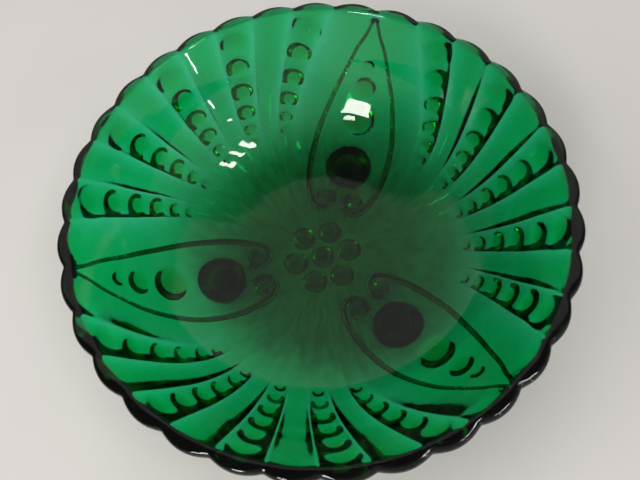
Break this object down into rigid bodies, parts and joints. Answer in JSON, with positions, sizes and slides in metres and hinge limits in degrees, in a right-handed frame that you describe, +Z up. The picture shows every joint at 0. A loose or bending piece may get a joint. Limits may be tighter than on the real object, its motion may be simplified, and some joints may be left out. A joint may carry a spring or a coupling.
{
  "type": "pressed glass serving bowl",
  "caption": "Wide pressed-glass serving bowl with a scalloped rim, smooth inside, beaded and fluted relief outside, and ball feet.",
  "frame": {"origin": "on the table, under the centre of the bowl", "axes": "+Z up along the bowl's axis, +Y towards one foot and its leaf panel"},
  "size_m": [0.218, 0.218, 0.072],
  "materials": {
    "glass": "clear green pressed glass, fire-polished inside and rim"
  },
  "bodies": {
    "root": {"bowl": "glass"}
  },
  "joints": []
}
